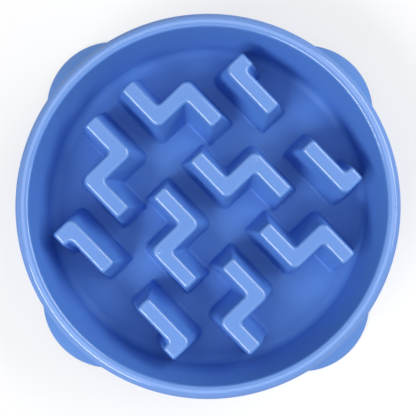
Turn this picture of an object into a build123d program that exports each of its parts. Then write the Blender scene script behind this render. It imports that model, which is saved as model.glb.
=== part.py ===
from build123d import *
import os
from math import atan2, cos, radians, tan

# A round slow feeder bowl: one moulded shell with ten raised ridges, on four push-in rubber feet.
# Millimetres. The origin is on the table under the middle of the bowl and +Z is up. The four lobes
# of the base point along the X and Y axes, and the ridges mirror across the XZ plane.

# Overall sizes
overall_height = 66.0
shoulder_radius = 120.0  # widest circle under the rim
lobe_overhang = 24.0  # tip of a lobe beyond the shoulder
wall = 2.6  # moulded thickness

# Rim, from the inside out
rim_inner_round = 2.2
rim_width = 5.8
bevel_width = 3.8
bevel_drop = 6.6

# Dish
dish_depth = 46.0
dish_draft = 5.0
dish_round = 6.0

# Skirt and lobes of the base
table_gap = 2.5  # the shell's bottom edge above the table
skirt_draft = 7.0
lobe_radius = 48.0  # at the bottom edge
lobe_height = 26.0  # top of the dome, inside the skirt
lobe_blend = 8.0

# Ridges
ridge_drop = 7.0  # top of a ridge below the rim
ridge_width = 10.0
ridge_draft = 8.0
ridge_round = 1.6  # along the top edge
end_flat = 1.2  # eased corners at the ends
bend_round = 5.0

# Plan of the maze, from the middle of the bowl
zig_pitch = 61.8  # from one stepped ridge to the next
zig_row = 28.4  # middle of a row of stepped ridges
zig_rise = 12.4  # half of a step
zig_reach = 27.9  # half the length of a stepped ridge
zig_trim = 4.4  # taken off the ridge nearest the wall
hook_row = 71.5  # middle of a hooked ridge's long leg
hook_start = 15.2
hook_end = 54.5
hook_tip = 82.2

# Push-in rubber feet, and the bosses under the lobes that hold their stems
pad_diameter = 20.0
pad_height = 5.0
pad_inset = 16.0  # middle of a foot inside the edge of its lobe
pad_clearance = 0.3  # room round a pad inside its lobe
stem_diameter = 6.0
stem_length = 6.0
stem_clearance = 0.05
stem_end_gap = 0.6
boss_wall = 2.4

# Heights and radii that follow
dish_radius = shoulder_radius - bevel_width - rim_width
floor_top = overall_height - dish_depth
floor_radius = dish_radius - dish_depth * tan(radians(dish_draft))
ridge_top = overall_height - ridge_drop
ridge_height = ridge_top - floor_top
shoulder_height = overall_height - bevel_drop
bevel_angle = atan2(bevel_width, bevel_drop)
lobe_axis = shoulder_radius + lobe_overhang - lobe_radius
lobe_rise = lobe_height - table_gap
dome_radius = (lobe_rise**2 + lobe_radius**2) / (2 * lobe_rise)
pad_axis = lobe_axis + lobe_radius - pad_inset

# How far a core's outline stands inside its ridge's, so that the wall is even all round
core_inset = wall / cos(radians(ridge_draft)) - wall * tan(radians(ridge_draft))


# Plan corners of a stepped ridge, and what each one is
def zig_corners(middle, trim):
    half = ridge_width / 2
    low = zig_row - zig_rise
    high = zig_row + zig_rise
    back = middle - zig_reach
    front = middle + zig_reach - trim
    return [
        (back, low - half, "end"),
        (middle + half, low - half, "bend"),
        (middle + half, high - half, "nook"),
        (front, high - half, "end"),
        (front, high + half, "end"),
        (middle - half, high + half, "bend"),
        (middle - half, low + half, "nook"),
        (back, low + half, "end"),
    ]


# Plan corners of a hooked ridge, and what each one is
def hook_corners():
    low = hook_row - ridge_width / 2
    high = hook_row + ridge_width / 2
    inner = hook_end - ridge_width
    return [
        (hook_start, low, "end"),
        (hook_end, low, "bend"),
        (hook_end, hook_tip, "end"),
        (inner, hook_tip, "end"),
        (inner, high, "nook"),
        (hook_start, high, "end"),
    ]


# A ridge above the floor: drafted walls, rounded bends, eased ends and a rounded top edge
def ridge(corners):
    top = Plane.XY.offset(ridge_top)
    with BuildPart() as solid:
        with BuildSketch(top):
            Polygon(*[(x, y) for x, y, _ in corners], align=None)
        extrude(amount=-ridge_height)
        draft(solid.faces().filter_by(Axis.Z, reverse=True), top, ridge_draft)
        for x, y, kind in corners:
            slopes = solid.edges().filter_by(lambda edge: abs(edge.tangent_at(0.5).Z) > 0.5)
            corner_edge = slopes.sort_by_distance((x, y, ridge_top))[0]
            if kind == "bend":
                fillet(corner_edge, bend_round)
            elif kind == "end":
                chamfer(corner_edge, end_flat)
        fillet(solid.faces().sort_by(Axis.Z)[-1].edges(), ridge_round)
    return solid.part


# The hollow under a ridge, which runs down past the underside of the floor
def core(corners):
    top = Plane.XY.offset(ridge_top - wall)
    with BuildPart() as solid:
        with BuildSketch(top):
            Polygon(*[(x, y) for x, y, _ in corners], align=None)
            offset(amount=-core_inset, kind=Kind.INTERSECTION)
        extrude(amount=-ridge_height - wall)
        draft(solid.faces().filter_by(Axis.Z, reverse=True), top, ridge_draft)
    return solid.part


# Section of the dish from the middle out, on its inner face or a wall's thickness behind it
def dish_section(thickness):
    side = thickness / cos(radians(dish_draft))
    corner = (floor_radius + side - thickness * tan(radians(dish_draft)), floor_top - thickness)
    with BuildSketch(Plane.XZ) as section:
        Polygon(
            (0, floor_top - thickness),
            corner,
            (dish_radius + side, overall_height),
            (0, overall_height),
            align=None,
        )
        if thickness:
            chamfer(section.vertices().sort_by_distance(corner)[0], dish_round)
        else:
            fillet(section.vertices().sort_by_distance(corner)[0], dish_round)
    return section.sketch


# A domed lobe of the base about its own upright axis, or the hollow under it
def lobe(inset):
    with BuildPart() as solid:
        with Locations((0, 0, lobe_height - dome_radius)):
            Sphere(dome_radius - inset)
        split(bisect_by=Plane.XY.offset(table_gap - inset), keep=Keep.TOP)
    return solid.part


# The outside of the bowl down to its skirt and lobes, or the hollow a wall's thickness inside it
def base(inset):
    low = table_gap - inset
    skirt_slope = radians(skirt_draft)
    skirt_low = shoulder_radius + (shoulder_height - low) * tan(skirt_slope)
    skirt_inset = inset / cos(skirt_slope)
    bevel_inset = inset / cos(bevel_angle) - inset * tan(bevel_angle)
    with BuildPart() as solid:
        with BuildSketch(Plane.XZ):
            Polygon(
                (0, low),
                (skirt_low - skirt_inset, low),
                (shoulder_radius - skirt_inset, shoulder_height),
                (shoulder_radius - bevel_width - bevel_inset, overall_height - inset),
                (0, overall_height - inset),
                align=None,
            )
        revolve(axis=Axis.Z)
        one_lobe = lobe(inset)
        with PolarLocations(lobe_axis, 4):
            add(one_lobe)
        if not inset:
            seams = solid.edges().filter_by(lambda e: e.geom_type not in (GeomType.LINE, GeomType.CIRCLE))
            fillet(seams, lobe_blend)
    return solid.part


half_maze = [
    zig_corners(-zig_pitch, 0),
    zig_corners(0, 0),
    zig_corners(zig_pitch, zig_trim),
    hook_corners(),
]

# Ten ridges standing on the floor, cut to the outside of the dish
with BuildPart() as maze:
    for corners in half_maze:
        add(ridge(corners))
    mirror(ridge(hook_corners()), about=Plane.YZ)
    mirror(about=Plane.XZ)
    with BuildSketch(Plane.XY.offset(floor_top)):
        Circle(dish_radius + wall)
    extrude(amount=-wall)
    revolve(dish_section(wall), axis=Axis.Z, mode=Mode.INTERSECT)

with BuildPart() as cores:
    for corners in half_maze:
        add(core(corners))
    mirror(core(hook_corners()), about=Plane.YZ)
    mirror(about=Plane.XZ)

# The hollow under the bowl, with a boss left in each lobe from its roof down to the rubber foot, and
# room for the foot's pad where the lobe's wall comes close to it
with BuildPart() as hollow:
    add(base(wall))
    with BuildSketch(Plane.XY.offset(pad_height)):
        with PolarLocations(pad_axis, 4):
            Circle(stem_diameter / 2 + boss_wall)
    extrude(amount=lobe_height, mode=Mode.SUBTRACT)
    with BuildSketch(Plane.XY.offset(pad_height)):
        with PolarLocations(pad_axis, 4):
            Circle(stem_diameter / 2)
    extrude(amount=stem_length + stem_end_gap)
    with BuildSketch(Plane.XY.offset(pad_height)):
        with PolarLocations(pad_axis, 4):
            Circle(pad_diameter / 2 + pad_clearance)
    extrude(amount=-pad_height)

with BuildPart() as bowl_shell:
    add(base(0))
    add(hollow.part, mode=Mode.SUBTRACT)
    revolve(dish_section(wall), axis=Axis.Z)
    revolve(dish_section(0), axis=Axis.Z, mode=Mode.SUBTRACT)
    add(maze.part)
    add(cores.part, mode=Mode.SUBTRACT)
    rim_edges = bowl_shell.edges().filter_by(GeomType.CIRCLE).group_by(Axis.Z)[-1]
    fillet(rim_edges.sort_by(SortBy.RADIUS)[0], rim_inner_round)

# One rubber foot under the lobe on +X: a round pad and the stem that is pushed into the boss
with BuildPart() as foot:
    with BuildSketch(Plane.XY.offset(pad_height)):
        with Locations((pad_axis, 0)):
            Circle(pad_diameter / 2)
    extrude(amount=-pad_height)
    with BuildSketch(Plane.XY.offset(pad_height)):
        with Locations((pad_axis, 0)):
            Circle(stem_diameter / 2 - stem_clearance)
    extrude(amount=stem_length)

os.makedirs("parts", exist_ok=True)
bowl_shell.part.label = "bowl_shell"
export_step(bowl_shell.part, "parts/bowl_shell.step")

foot_turns = {"foot_right": 0, "foot_back": 90, "foot_left": 180, "foot_front": 270}
for name, turn in foot_turns.items():
    with BuildPart() as turned_foot:
        add(foot.part, rotation=(0, 0, turn))
    turned_foot.part.label = name
    export_step(turned_foot.part, f"parts/{name}.step")
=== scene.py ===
from math import cos, pi, radians, sin, sqrt, tan

import bmesh
import bpy
import numpy as np
from mathutils import Matrix, Vector


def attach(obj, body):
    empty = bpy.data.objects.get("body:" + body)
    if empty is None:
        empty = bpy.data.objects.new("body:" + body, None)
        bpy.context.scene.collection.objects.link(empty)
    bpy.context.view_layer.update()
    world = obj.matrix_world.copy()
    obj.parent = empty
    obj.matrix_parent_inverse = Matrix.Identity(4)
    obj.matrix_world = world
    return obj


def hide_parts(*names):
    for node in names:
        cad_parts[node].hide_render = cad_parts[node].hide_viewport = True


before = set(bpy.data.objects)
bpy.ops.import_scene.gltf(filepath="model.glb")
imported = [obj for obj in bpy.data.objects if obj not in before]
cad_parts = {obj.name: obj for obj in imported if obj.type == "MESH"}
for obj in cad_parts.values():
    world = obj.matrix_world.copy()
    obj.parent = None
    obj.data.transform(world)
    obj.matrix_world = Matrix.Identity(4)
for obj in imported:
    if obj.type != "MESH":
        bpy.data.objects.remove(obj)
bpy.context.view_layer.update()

# A round slow feeder bowl: one blue moulding with ten hollow ridges, on four rubber feet. The origin is
# on the table under the middle of the bowl, +Z is up and the lobes point along the X and Y axes.

# Sizes in millimetres, the same as the solids
MM = 0.001
HEIGHT = 66.0
SHOULDER = 120.0  # radius of the widest circle under the rim
WALL = 2.6
RIM_WIDTH = 5.8
BEVEL_WIDTH = 3.8
BEVEL_DROP = 6.6
SHOULDER_HEIGHT = HEIGHT - BEVEL_DROP
DISH = SHOULDER - BEVEL_WIDTH - RIM_WIDTH  # radius of the dish at the top
DISH_DEPTH = 46.0
DISH_DRAFT = tan(radians(5.0))
DISH_ROUND = 6.0
FLOOR = HEIGHT - DISH_DEPTH
FLOOR_RADIUS = DISH - DISH_DEPTH * DISH_DRAFT
SKIRT_DRAFT = radians(7.0)
SKIRT_FOOT = 2.5  # the skirt's bottom edge above the table
LOBE_OVERHANG = 24.0
LOBE_RADIUS = 48.0
LOBE_TOP = 26.0
LOBE_AXIS = SHOULDER + LOBE_OVERHANG - LOBE_RADIUS
LOBE_RISE = LOBE_TOP - SKIRT_FOOT
DOME_RADIUS = (LOBE_RISE**2 + LOBE_RADIUS**2) / (2 * LOBE_RISE)
DOME_CENTRE = LOBE_TOP - DOME_RADIUS
RIDGE_DROP = 7.0
RIDGE_TOP = HEIGHT - RIDGE_DROP
RIDGE_WIDTH = 10.0
RIDGE_DRAFT = radians(8.0)
ZIG_PITCH = 61.8
ZIG_ROW = 28.4
ZIG_RISE = 12.4
ZIG_REACH = 27.9
ZIG_TRIM = 4.4
HOOK_ROW = 71.5
HOOK_START = 15.2
HOOK_END = 54.5
HOOK_TIP = 82.2
PAD_RADIUS = 10.0
PAD_HEIGHT = 5.0
PAD_INSET = 16.0
FOOT_AXIS = SHOULDER + LOBE_OVERHANG - PAD_INSET
STEM_RADIUS = 3.0
STEM_CLEARANCE = 0.05
STEM_LENGTH = 6.0
STEM_END_GAP = 0.6
BOSS_WALL = 2.4
BOSS_RADIUS = STEM_RADIUS + BOSS_WALL

# The rim's crown and edges, which only the looks need
LIP_DROP = 0.25  # the inner lip below the crown
LIP_ROUND = 2.0
CROWN_OFFSET = 2.2  # top of the crown outside the dish
CROWN_ROUND = 8.0
RIM_FALL = 0.06  # the outer edge below the crown
RIM_INSET = 0.1  # the outer edge inside the solid's
RIM_EDGE_ROUND = 2.8
SHOULDER_ROUND = 1.2
SHOULDER_RUN = 2.4  # straight part of the skirt below the shoulder

# The skirt's edge, and how widely the lobes blend into the skirt
SKIRT_EDGE_ROUND = 0.5
SKIRT_BLEND = 5.0
HOLLOW_BLEND = 3.0

# The hidden space between the dish and the skirt
CAVITY_START = 59.0  # height of its first ring, behind the bevel
CAVITY_START_INSET = 0.1
CAVITY_LEAN = 2.0  # how far the back of the bevel leans in
CAVITY_ROUND = 1.0
RIM_EXTRA = 0.2  # plastic over the cavity beyond the wall
RIM_BACK = 2.3  # the dish's back face outside the dish, at the top
RIM_BACK_ROUND = 0.9
FLOOR_BACK_ROUND = 4.0
FLOOR_RUN = 3.0  # flat of the underside that the last ring takes in

# Ridges: rounds, corners and the hollows underneath
RIDGE_ROUND = 2.6
RIDGE_FOOT_ROUND = 2.0
CORNER_ROUND = {"bend": 5.0, "end": 2.0, "nook": 2.4}
LEAST_ROUND = 0.3
CORE_EASE = 0.6
CORE_CLOSE = 1.2  # how far the hollow's outer corners close up
FLOOR_HOLE_GROW = 4.2  # the floor ends this far outside a ridge's top, under its foot
FLOOR_HOLE_SWELL = 1.0
FLOOR_HOLE_MARGIN = 0.3
GATE_MARKS = {1: (-0.1, 41.0), 6: (-0.1, -41.0)}  # places on the two middle ridges of maze_plan
GATE_RADIUS = 0.95
GATE_HEIGHT = 0.35
GATE_SHARES = (0.1, 0.35, 0.6, 0.8, 0.93, 1.0)  # rings, as shares of its radius

# Eased edges of the bosses and feet
BOSS_EASE = 0.4
HOLE_EASE = 0.3
HOLE_END = 0.4  # radius of the last ring in the stem's hole
FOOT_END = 0.3  # radius of the first and last rings of a foot
STEM_TIP_ROUND = 0.5
STEM_ROOT_ROUND = 0.3
PAD_TOP_ROUND = 0.5
PAD_FOOT_ROUND = 0.8

# Fineness of the meshes
ROUND_STEPS = 400
RIDGE_ROUND_STEPS = 7
RIDGE_FOOT_STEPS = 6
CORNER_STEPS = {"bend": 8, "end": 6, "nook": 6}
RUN_STEPS = 8
SKIRT_EDGE_STEPS = 5
GATE_STEPS = 24
BOSS_STEPS = 32
FOOT_STEPS = 72
SKIRT_RUNS = ((55.0, LOBE_TOP, 8), (24.6, 4.4, 28))  # heights of rings: first, last and how many
HOLLOW_RUNS = ((4.6, 23.0, 22), (26.0, 57.0, 6))
TURN = np.arange(ROUND_STEPS) * 2 * pi / ROUND_STEPS

# The skirt's radius is found between these two by halving
LEAST_SKIRT = 60.0
MOST_SKIRT = 160.0
HALVINGS = 40

# Between these heights the plastic turns from its plain finish to that of the ridge tops and rim
PLAIN_BELOW = RIDGE_TOP - 4.0
GLOSSY_ABOVE = RIDGE_TOP - 2.0

# Colours, from the darker to the paler where two are blended
PLASTIC_BLUES = ((0.095, 0.248, 0.658, 1), (0.111, 0.270, 0.696, 1))
SCRATCH_BLUE = (0.45, 0.60, 0.92, 1)
RUBBER_GREYS = ((0.030, 0.032, 0.038, 1), (0.055, 0.058, 0.066, 1))
WHITE = (1, 1, 1, 1)

# The picture looks straight down, with the bowl turned and a little off the middle; places are in metres
IMAGE_PIXELS = 416.0
LENS_PIXELS = 653.0
CAMERA_HEIGHT = 0.466
CAMERA_SHIFT = -0.99 * MM  # along the picture's up direction
BOWL_TURN = radians(46.07)
BOWL_MIDDLE = Vector((0, 0, 0.03))
RIGHT = Vector((cos(BOWL_TURN), sin(BOWL_TURN), 0))
UP = Vector((-sin(BOWL_TURN), cos(BOWL_TURN), 0))
ABOVE = Vector((0, 0, 1))
OVERHEAD_LAMPS = 8
OVERHEAD_RADIUS = 0.48
OVERHEAD_HEIGHT = 1.2


# A path of points with its corners rounded, each corner given as x, y, radius and steps
def eased(corners):
    path = [corners[0][:2]]
    for before, (x, y, radius, steps), after in zip(corners, corners[1:-1], corners[2:]):
        here = Vector((x, y))
        back = (Vector(before[:2]) - here).normalized()
        on = (Vector(after[:2]) - here).normalized()
        half = back.angle(on) / 2
        middle = here + (back + on).normalized() * radius / sin(half)
        start = here + back * radius / tan(half) - middle
        turn = (here + on * radius / tan(half) - middle).angle_signed(start)
        for step in range(steps + 1):
            spoke = start.copy()
            spoke.rotate(Matrix.Rotation(turn * step / steps, 2))
            path.append(tuple(middle + spoke))
    path.append(corners[-1][:2])
    return path


# Heights along runs, each given as its first and last height and their number
def heights(runs):
    return [z for first, last, count in runs for z in np.linspace(first, last, count)]


# A ring of points at one height, round the bowl's axis
def ring(radius, z):
    radii = np.broadcast_to(radius, TURN.shape)
    return np.stack([radii * np.cos(TURN), radii * np.sin(TURN), np.full(TURN.shape, z)], axis=1)


# The skirt with its four domed lobes at one height, blended where they meet, or inside it by an inset
def skirt_ring(z, inset, blend):
    skirt = SHOULDER + (SHOULDER_HEIGHT - z) * tan(SKIRT_DRAFT)
    folded = (TURN + pi / 4) % (pi / 2) - pi / 4
    low = np.full(TURN.shape, LEAST_SKIRT)
    high = np.full(TURN.shape, MOST_SKIRT)
    for _ in range(HALVINGS):
        radius = (low + high) / 2
        across = np.hypot(radius * np.cos(folded) - LOBE_AXIS, radius * np.sin(folded))
        to_skirt = (radius - skirt) * cos(SKIRT_DRAFT) + inset
        to_lobe = np.hypot(across, z - DOME_CENTRE) - DOME_RADIUS + inset
        near = np.maximum(blend - np.abs(to_skirt - to_lobe), 0) / blend
        outside = np.minimum(to_skirt, to_lobe) - near**2 * blend / 4 > 0
        high = np.where(outside, radius, high)
        low = np.where(outside, low, radius)
    return ring(low, z)


# A small circle of points at one height, about a point of the plan
def circle(x, y, radius, z, steps):
    angles = [2 * pi * i / steps for i in range(steps)]
    return [Vector((x + radius * cos(angle), y + radius * sin(angle), z)) for angle in angles]


# Points turned about the bowl's axis
def turned(points, turn):
    return [Matrix.Rotation(turn, 3, "Z") @ point for point in points]


# Mesh builder that keeps every part of one moulding in one mesh
class Moulding:
    def __init__(self):
        self.mesh = bmesh.new()

    # One closed loop of vertices, from points in millimetres
    def loop(self, points):
        return [self.mesh.verts.new(Vector(p) * MM) for p in points]

    # Quads from loop to loop, facing right of the way round when it goes down
    def skin(self, loops, flip=False):
        for upper, lower in zip(loops, loops[1:]):
            for i in range(len(upper)):
                j = (i + 1) % len(upper)
                corners = [upper[i], lower[i], lower[j], upper[j]]
                self.mesh.faces.new(corners[::-1] if flip else corners)

    # One face over a loop that goes anticlockwise seen from above, facing up or down
    def cap(self, loop, up):
        self.mesh.faces.new(loop if up else loop[::-1])

    # Flat cover over a loop, with holes, facing up or down
    def cover(self, loops, up):
        edges = []
        for loop in loops:
            for i, vert in enumerate(loop):
                pair = (vert, loop[(i + 1) % len(loop)])
                edges.append(self.mesh.edges.get(pair) or self.mesh.edges.new(pair))
        made = bmesh.ops.triangle_fill(self.mesh, use_beauty=True, edges=edges)
        faces = [item for item in made["geom"] if isinstance(item, bmesh.types.BMFace)]
        for face in faces:
            face.normal_update()
            if (face.normal.z > 0) != up:
                face.normal_flip()

    # The moulding as a smooth object, shaded by its larger faces
    def finished(self, name):
        data = bpy.data.meshes.new(name)
        for face in self.mesh.faces:
            face.smooth = True
        self.mesh.to_mesh(data)
        self.mesh.free()
        piece = bpy.data.objects.new(name, data)
        bpy.context.scene.collection.objects.link(piece)
        even = piece.modifiers.new("even_shading", "WEIGHTED_NORMAL")
        even.mode = "FACE_AREA"
        even.weight = 100
        return piece


# Plan corners of a stepped ridge, anticlockwise
def zig_corners(middle, trim):
    half = RIDGE_WIDTH / 2
    low = ZIG_ROW - ZIG_RISE
    high = ZIG_ROW + ZIG_RISE
    back = middle - ZIG_REACH
    front = middle + ZIG_REACH - trim
    return [
        (back, low - half, "end"),
        (middle + half, low - half, "bend"),
        (middle + half, high - half, "nook"),
        (front, high - half, "end"),
        (front, high + half, "end"),
        (middle - half, high + half, "bend"),
        (middle - half, low + half, "nook"),
        (back, low + half, "end"),
    ]


# Plan corners of a hooked ridge, anticlockwise
def hook_corners():
    low = HOOK_ROW - RIDGE_WIDTH / 2
    high = HOOK_ROW + RIDGE_WIDTH / 2
    inner = HOOK_END - RIDGE_WIDTH
    return [
        (HOOK_START, low, "end"),
        (HOOK_END, low, "bend"),
        (HOOK_END, HOOK_TIP, "end"),
        (inner, HOOK_TIP, "end"),
        (inner, high, "nook"),
        (HOOK_START, high, "end"),
    ]


# The same plan mirrored, still anticlockwise
def mirrored(corners, x=1, y=1):
    return [(x * cx, y * cy, kind) for cx, cy, kind in reversed(corners)]


# Plan corners of all ten ridges, the back half first
def maze_plan():
    back_half = [
        zig_corners(-ZIG_PITCH, 0),
        zig_corners(0, 0),
        zig_corners(ZIG_PITCH, ZIG_TRIM),
        hook_corners(),
        mirrored(hook_corners(), x=-1),
    ]
    return back_half + [mirrored(corners, y=-1) for corners in back_half]


# Outline of a ridge grown outwards, with its corners rounded; the rounds open or close by swell
def ridge_outline(corners, grow, swell):
    arcs = []
    for i, (x, y, kind) in enumerate(corners):
        before, after = corners[i - 1], corners[(i + 1) % len(corners)]
        inward = Vector((x - before[0], y - before[1])).normalized()
        onward = Vector((after[0] - x, after[1] - y)).normalized()
        side_in = Vector((inward.y, -inward.x))
        side_on = Vector((onward.y, -onward.x))
        corner = Vector((x, y)) + grow * (side_in + side_on)
        way = -1 if kind == "nook" else 1
        radius = max(CORNER_ROUND[kind] + way * swell, LEAST_ROUND)
        middle = corner - way * radius * (side_in + side_on)
        arc = []
        for step in range(CORNER_STEPS[kind] + 1):
            angle = pi / 2 * step / CORNER_STEPS[kind]
            arc.append(middle + way * radius * (side_in * cos(angle) + side_on * sin(angle)))
        arcs.append(arc)
    points = []
    for arc, following in zip(arcs, arcs[1:] + arcs[:1]):
        points += arc
        for step in range(1, RUN_STEPS):
            points.append(arc[-1].lerp(following[0], step / RUN_STEPS))
    return points


# Radius of the dish's inner face at a height
def dish_radius(z):
    rise = z - FLOOR
    below_round = max(DISH_ROUND - rise, 0)
    return FLOOR_RADIUS + rise * DISH_DRAFT - DISH_ROUND + sqrt(DISH_ROUND**2 - below_round**2)


# A ridge outline at one height, cut off a margin past the dish's inner face, or short of it if negative
def ridge_loop(corners, grow, swell, z, margin):
    limit = dish_radius(max(z, FLOOR)) + margin
    points = []
    for point in ridge_outline(corners, grow, swell):
        reach = min(1, limit / point.length)
        points.append((point.x * reach, point.y * reach, z))
    return points


# A low round mark on top of a ridge, where the plastic was fed in; returns its edge
def add_gate_mark(moulding, x, y):
    dome = (GATE_RADIUS**2 + GATE_HEIGHT**2) / (2 * GATE_HEIGHT)
    loops = []
    for share in GATE_SHARES:
        radius = GATE_RADIUS * share
        z = RIDGE_TOP + GATE_HEIGHT - dome + sqrt(dome**2 - radius**2)
        loops.append(moulding.loop(circle(x, y, radius, z, GATE_STEPS)))
    moulding.skin(loops)
    moulding.cap(loops[0], up=True)
    return loops[-1]


# The outside of a ridge, from its rounded top edge down the drafted wall to the eased foot
def add_ridge(moulding, corners, gate_mark):
    lean = pi / 2 - RIDGE_DRAFT
    edge = RIDGE_ROUND * tan(lean / 2)
    levels = []
    for step in range(RIDGE_ROUND_STEPS + 1):
        angle = lean * step / RIDGE_ROUND_STEPS
        drop = RIDGE_ROUND * (1 - cos(angle))
        levels.append((RIDGE_ROUND * sin(angle) - edge, RIDGE_TOP - drop, 0.0))
    base = (RIDGE_TOP - FLOOR) * tan(RIDGE_DRAFT)
    flare = RIDGE_FOOT_ROUND * tan(lean / 2)
    for step in range(RIDGE_FOOT_STEPS + 1):
        angle = lean * (1 - step / RIDGE_FOOT_STEPS)
        out = base + flare - RIDGE_FOOT_ROUND * sin(angle)
        swell = RIDGE_FOOT_ROUND * (sin(lean) - sin(angle))
        levels.append((out, FLOOR + RIDGE_FOOT_ROUND * (1 - cos(angle)), swell))
    loops = []
    for out, z, swell in levels:
        loops.append(moulding.loop(ridge_loop(corners, out, min(out, swell), z, WALL / 2)))
    moulding.skin(loops)
    if gate_mark:
        moulding.cover([loops[0], add_gate_mark(moulding, *gate_mark)], up=True)
    else:
        moulding.cap(loops[0], up=True)


# The hollow under a ridge; returns its mouth in the underside of the floor
def add_core(moulding, corners):
    inset = WALL / cos(RIDGE_DRAFT) - WALL * tan(RIDGE_DRAFT)
    roof = RIDGE_TOP - WALL
    mouth = FLOOR - WALL
    levels = [
        (roof, -CORE_EASE),
        (roof - CORE_EASE, 0),
        (mouth + CORE_EASE, 0),
        (mouth, CORE_EASE),
    ]
    loops = []
    for z, out_by in levels:
        out = (roof - z) * tan(RIDGE_DRAFT) - inset + out_by
        loops.append(moulding.loop(ridge_loop(corners, out, -CORE_CLOSE, z, -CORE_EASE)))
    moulding.skin(loops, flip=True)
    moulding.cap(loops[0], up=False)
    return loops[-1]


# A tube under a lobe that holds the stem of a rubber foot, from inside the lobe's wall down
def add_boss(moulding, turn):
    hole_top = PAD_HEIGHT + STEM_LENGTH + STEM_END_GAP
    section = [
        (BOSS_RADIUS, PAD_HEIGHT + BOSS_EASE),
        (BOSS_RADIUS - BOSS_EASE, PAD_HEIGHT),
        (STEM_RADIUS + HOLE_EASE, PAD_HEIGHT),
        (STEM_RADIUS, PAD_HEIGHT + HOLE_EASE),
        (STEM_RADIUS, hole_top),
        (HOLE_END, hole_top),
    ]
    in_wall = circle(FOOT_AXIS, 0, BOSS_RADIUS, 0, BOSS_STEPS)
    for point in in_wall:
        across = Vector((point.x - LOBE_AXIS, point.y)).length
        point.z = DOME_CENTRE + sqrt((DOME_RADIUS - WALL / 2) ** 2 - across**2)
    loops = [moulding.loop(turned(in_wall, turn))]
    for radius, z in section:
        loops.append(moulding.loop(turned(circle(FOOT_AXIS, 0, radius, z, BOSS_STEPS), turn)))
    moulding.skin(loops)
    moulding.cap(loops[-1], up=False)


# Rings up the dish, over the rim and past the shoulder; the section's first point only gives its direction
def dish_rings():
    section = [
        (0, FLOOR),
        (FLOOR_RADIUS, FLOOR, DISH_ROUND, 9),
        (DISH, HEIGHT - LIP_DROP, LIP_ROUND, 8),
        (DISH + CROWN_OFFSET, HEIGHT, CROWN_ROUND, 5),
        (DISH + RIM_WIDTH - RIM_INSET, HEIGHT - RIM_FALL, RIM_EDGE_ROUND, 9),
        (SHOULDER, SHOULDER_HEIGHT, SHOULDER_ROUND, 4),
        (SHOULDER + SHOULDER_RUN * tan(SKIRT_DRAFT), SHOULDER_HEIGHT - SHOULDER_RUN),
    ]
    return [ring(radius, z) for radius, z in eased(section)[1:]]


# Rings down the outside of the skirt, round its bottom edge and up the inside
def skirt_rings():
    outside = [skirt_ring(z, 0, SKIRT_BLEND) for z in heights(SKIRT_RUNS)]
    inside = [skirt_ring(z, WALL, HOLLOW_BLEND) for z in heights(HOLLOW_RUNS)]
    outer_edge = []
    inner_edge = []
    for step in range(SKIRT_EDGE_STEPS + 1):
        angle = pi / 2 * step / SKIRT_EDGE_STEPS
        z = SKIRT_FOOT + SKIRT_EDGE_ROUND * (1 - sin(angle))
        inset = SKIRT_EDGE_ROUND * (1 - cos(angle))
        outer_edge.append(skirt_ring(z, inset, SKIRT_BLEND))
        inner_edge.append(skirt_ring(z, WALL - inset, HOLLOW_BLEND))
    return outside + outer_edge + inner_edge[::-1] + inside


# Rings under the rim and down the back of the dish to the underside of the floor
def cavity_rings():
    skirt_back = SHOULDER - WALL
    dish_back = FLOOR_RADIUS + WALL
    under_rim = HEIGHT - WALL - RIM_EXTRA
    under_floor = FLOOR - WALL
    section = [
        (skirt_back - CAVITY_START_INSET, CAVITY_START),
        (skirt_back - CAVITY_LEAN, under_rim, CAVITY_ROUND, 3),
        (DISH + RIM_BACK, under_rim, RIM_BACK_ROUND, 3),
        (dish_back + DISH_ROUND * DISH_DRAFT, under_floor + DISH_ROUND, FLOOR_BACK_ROUND, 3),
        (dish_back - DISH_ROUND, under_floor, FLOOR_BACK_ROUND, 3),
        (dish_back - DISH_ROUND - FLOOR_RUN, under_floor),
    ]
    return [ring(radius, z) for radius, z in eased(section)]


# The whole bowl: dish, rim, skirt and lobes as one skin, with the ridges and what is underneath
def make_bowl():
    moulding = Moulding()
    loops = [moulding.loop(points) for points in dish_rings() + skirt_rings() + cavity_rings()]
    moulding.skin(loops)
    mouths = []
    floor_holes = []
    for i, corners in enumerate(maze_plan()):
        add_ridge(moulding, corners, GATE_MARKS.get(i))
        mouths.append(add_core(moulding, corners))
        hole = ridge_loop(corners, FLOOR_HOLE_GROW, FLOOR_HOLE_SWELL, FLOOR, -FLOOR_HOLE_MARGIN)
        floor_holes.append(moulding.loop(hole))
    moulding.cover([loops[0], *floor_holes], up=True)
    moulding.cover([loops[-1], *mouths], up=False)
    for quarter in range(4):
        add_boss(moulding, quarter * pi / 2)
    return moulding.finished("moulded_bowl")


# A push-in rubber foot: a round pad with eased edges, and its stem
def make_foot(name, turn):
    stem = STEM_RADIUS - STEM_CLEARANCE
    stem_top = PAD_HEIGHT + STEM_LENGTH
    section = [
        (FOOT_END, stem_top),
        (stem, stem_top, STEM_TIP_ROUND, 4),
        (stem, PAD_HEIGHT, STEM_ROOT_ROUND, 3),
        (PAD_RADIUS, PAD_HEIGHT, PAD_TOP_ROUND, 5),
        (PAD_RADIUS, 0.0, PAD_FOOT_ROUND, 6),
        (FOOT_END, 0.0),
    ]
    moulding = Moulding()
    loops = []
    for radius, z in eased(section):
        loops.append(moulding.loop(turned(circle(FOOT_AXIS, 0, radius, z, FOOT_STEPS), turn)))
    moulding.skin(loops)
    moulding.cap(loops[0], up=True)
    moulding.cap(loops[-1], up=False)
    return moulding.finished(name)


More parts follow.
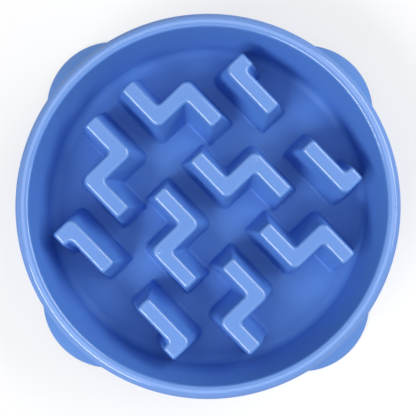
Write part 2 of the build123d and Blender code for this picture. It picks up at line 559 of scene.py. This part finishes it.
# A socket, with arithmetic that adds Math nodes
class Amount:
    def __init__(self, nodes, socket):
        self.nodes = nodes
        self.socket = socket

    def math(self, operation, first, second):
        return self.nodes.node("Math", {"operation": operation}, {0: first, 1: second})

    def __add__(self, other):
        return self.math("ADD", self, other)

    __radd__ = __add__

    def __sub__(self, other):
        return self.math("SUBTRACT", self, other)

    def __rsub__(self, other):
        return self.math("SUBTRACT", other, self)

    def __mul__(self, other):
        return self.math("MULTIPLY", self, other)

    __rmul__ = __mul__


# The nodes of one material, or of the light all round
class Nodes:
    def __init__(self, owner):
        owner.use_nodes = True
        self.tree = owner.node_tree

    # Adds a node: its settings first, then the values or links of its sockets
    def node(self, kind, settings=None, sockets=None, output=0):
        made = self.tree.nodes.new("ShaderNode" + kind)
        for key, value in (settings or {}).items():
            setattr(made, key, value)
        self.fill(made, sockets or {})
        return Amount(self, made.outputs[output])

    # Sets or links the sockets of a node
    def fill(self, made, sockets):
        for key, value in sockets.items():
            if isinstance(value, Amount):
                self.tree.links.new(value.socket, made.inputs[key])
            else:
                made.inputs[key].default_value = value

    # Grain of a size in millimetres, as an amount from 0 to 1 about its middle
    def grain(self, place, size, detail=2.0, rough=0.5):
        sockets = {"Vector": place, "Scale": 1 / (size * MM), "Detail": detail, "Roughness": rough}
        return self.node("TexNoise", None, sockets)

    # Part of a range that an amount has passed, eased at both ends
    def passed(self, amount, start, end):
        settings = {"interpolation_type": "SMOOTHSTEP"}
        return self.node("MapRange", settings, {"Value": amount, "From Min": start, "From Max": end})

    # From the first colour to the second by an amount
    def blend(self, amount, first, second):
        settings = {"data_type": "RGBA"}
        return self.node("Mix", settings, {"Factor": amount, "A": first, "B": second}, output=2)

    # A bump of a height in millimetres, on top of another where one is given
    def bump(self, height, distance, strength, normal=None):
        sockets = {"Height": height, "Distance": distance * MM, "Strength": strength}
        if normal:
            sockets["Normal"] = normal
        return self.node("Bump", None, sockets)

    # Fine straight scratches across the top, all turned one way, with sizes in millimetres
    def scratches(self, place, turn, length, width):
        along = self.node("VectorRotate", {"rotation_type": "Z_AXIS"}, {"Vector": place, "Angle": turn})
        per_metre = (1 / (length * MM), 1 / (width * MM), 1 / (length * MM))
        drawn = self.node("VectorMath", {"operation": "MULTIPLY"}, {0: along, 1: per_metre})
        noise = self.node("TexNoise", None, {"Vector": drawn, "Scale": 1.0})
        return self.passed(noise, start=0.64, end=0.74)

    # Share of the rays that see the studio itself: from the camera, by gloss or through glass
    def seen(self):
        camera_ray = self.node("LightPath", output="Is Camera Ray")
        glossy_ray = self.node("LightPath", output="Is Glossy Ray")
        return camera_ray + glossy_ray + self.node("LightPath", output="Is Transmission Ray")


# Light blue moulded plastic, glossier on the rim and ridge tops and scratched a little on their flats
def blue_plastic():
    material = bpy.data.materials.new("blue_moulded_plastic")
    nodes = Nodes(material)
    place = nodes.node("TexCoord", output="Object")
    height = nodes.node("SeparateXYZ", None, {0: place}, output="Z")
    facing = nodes.node("NewGeometry", output="Normal")
    upward = nodes.node("SeparateXYZ", None, {0: facing}, output="Z")

    high = nodes.passed(height, start=PLAIN_BELOW * MM, end=GLOSSY_ABOVE * MM)
    touched = high * nodes.passed(upward, start=0.6, end=0.75)
    flat = high * nodes.passed(upward, start=0.97, end=0.995)
    cloud = nodes.grain(place, size=60.0, detail=3.0)
    fine = nodes.grain(place, size=0.9, rough=0.6)
    peel = nodes.grain(place, size=5.0, detail=1.0)
    worn = nodes.passed(nodes.grain(place, size=22.0), start=0.42, end=0.66) * flat
    long_scratches = nodes.scratches(place, turn=0.5, length=16.0, width=0.35)
    short_scratches = nodes.scratches(place, turn=1.9, length=11.0, width=0.3)
    marks = worn * (long_scratches + short_scratches)

    colour = nodes.blend(cloud, *PLASTIC_BLUES)
    colour = nodes.blend(0.10 * marks, colour, SCRATCH_BLUE)
    rough = 0.44 - 0.26 * touched + 0.06 * cloud + 0.04 * fine + 0.05 * worn + 0.12 * marks
    normal = nodes.bump(fine, distance=0.05, strength=0.08)
    normal = nodes.bump(peel, distance=0.05, strength=0.2, normal=normal)
    normal = nodes.bump(1 - marks, distance=0.01, strength=0.5, normal=normal)
    sockets = {
        "Base Color": colour,
        "Roughness": rough,
        "Normal": normal,
        "Specular IOR Level": 0.22,
        "Coat Weight": touched * (1 - 0.5 * marks),
        "Coat Roughness": 0.08,
        "Coat IOR": 1.6,
    }
    nodes.fill(nodes.tree.nodes["Principled BSDF"], sockets)
    return material


# Dark grey rubber with a dull skin
def dark_rubber():
    material = bpy.data.materials.new("dark_rubber")
    nodes = Nodes(material)
    place = nodes.node("TexCoord", output="Object")
    cloud = nodes.grain(place, size=6.0, detail=3.0)
    fine = nodes.grain(place, size=0.35, detail=3.0, rough=0.6)
    sockets = {
        "Base Color": nodes.blend(cloud, *RUBBER_GREYS),
        "Roughness": 0.68 + 0.2 * fine,
        "Normal": nodes.bump(fine, distance=0.08, strength=0.4),
    }
    nodes.fill(nodes.tree.nodes["Principled BSDF"], sockets)
    return material


# Pale matt floor that keeps the shadow near the bowl and fades to white further off
def pale_floor(reach, drop, paleness, own_white, fade):
    mesh = bpy.data.meshes.new("pale_floor")
    ways = ((-1, -1), (1, -1), (1, 1), (-1, 1))
    mesh.from_pydata([(x * reach, y * reach, -drop) for x, y in ways], [], [(0, 1, 2, 3)])
    material = bpy.data.materials.new("pale_floor")
    nodes = Nodes(material)
    matt = nodes.node("BsdfDiffuse", None, {"Color": (paleness, paleness, paleness, 1)})
    white = nodes.node("Emission", None, {"Color": WHITE, "Strength": 1.0})
    place = nodes.node("TexCoord", output="Object")
    distance = nodes.node("VectorMath", {"operation": "LENGTH"}, {0: place}, output="Value")
    whiteness = own_white + (1 - own_white) * nodes.passed(distance, *fade)
    shown = nodes.node("MixShader", None, {0: whiteness * nodes.seen(), 1: matt, 2: white})
    nodes.fill(nodes.tree.nodes["Material Output"], {"Surface": shown})
    mesh.materials.append(material)
    floor = bpy.data.objects.new("pale_floor", mesh)
    bpy.context.scene.collection.objects.link(floor)


# Even light from all round, in front of which the bowl is seen against white
def light_all_round(strength):
    world = bpy.data.worlds.new("studio")
    bpy.context.scene.world = world
    nodes = Nodes(world)
    soft = nodes.node("Background", None, {"Color": WHITE, "Strength": strength})
    white = nodes.node("Background", None, {"Color": WHITE, "Strength": 1.0})
    shown = nodes.node("MixShader", None, {0: nodes.seen(), 1: soft, 2: white})
    nodes.fill(nodes.tree.nodes["World Output"], {"Surface": shown})


# A soft lamp that looks at the middle of the bowl, as bright as its radiance says
def soft_lamp(name, place, width, height, radiance):
    lamp = bpy.data.lights.new(name, "AREA")
    lamp.shape = "RECTANGLE"
    lamp.size = width
    lamp.size_y = height
    lamp.energy = radiance * pi * width * height
    holder = bpy.data.objects.new(name, lamp)
    bpy.context.scene.collection.objects.link(holder)
    holder.location = place
    holder.rotation_mode = "QUATERNION"
    holder.rotation_quaternion = (BOWL_MIDDLE - place).to_track_quat("-Z", "Y")


# A camera that looks straight down, with the picture's right and up directions
def overhead_camera(place):
    view = bpy.data.cameras.new("overhead")
    view.lens = view.sensor_width * LENS_PIXELS / IMAGE_PIXELS
    camera = bpy.data.objects.new("overhead", view)
    bpy.context.scene.collection.objects.link(camera)
    facing = Matrix((RIGHT, UP, ABOVE)).transposed()
    camera.matrix_world = Matrix.Translation(place) @ facing.to_4x4()
    bpy.context.scene.camera = camera


bowl = make_bowl()
bowl.data.materials.append(blue_plastic())
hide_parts("bowl_shell")
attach(bowl, "root")

rubber = dark_rubber()
for quarter, side in enumerate(("right", "back", "left", "front")):
    foot = make_foot("rubber_foot_" + side, quarter * pi / 2)
    foot.data.materials.append(rubber)
    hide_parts("foot_" + side)
    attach(foot, "root")

overhead_camera(UP * CAMERA_SHIFT + ABOVE * CAMERA_HEIGHT)
pale_floor(reach=3.0, drop=0.2 * MM, paleness=0.92, own_white=0.5, fade=(0.15, 0.6))
light_all_round(strength=0.17)
soft_lamp("strip", Vector((0, -0.92, 0.95)), width=0.9, height=0.4, radiance=10.0)
soft_lamp("side", RIGHT * 0.98 + UP * 0.6 + ABOVE * 0.85, width=0.9, height=0.9, radiance=3.8)
soft_lamp("spark", RIGHT * 1.1 + ABOVE * 0.80, width=0.5, height=0.4, radiance=5.2)
for i in range(OVERHEAD_LAMPS):
    angle = BOWL_TURN + i * 2 * pi / OVERHEAD_LAMPS
    around = Vector((cos(angle), sin(angle), 0))
    place = around * OVERHEAD_RADIUS + ABOVE * OVERHEAD_HEIGHT
    soft_lamp(f"overhead_{i}", place, width=0.38, height=0.2, radiance=1.7)

bpy.context.scene.view_settings.view_transform = "Standard"
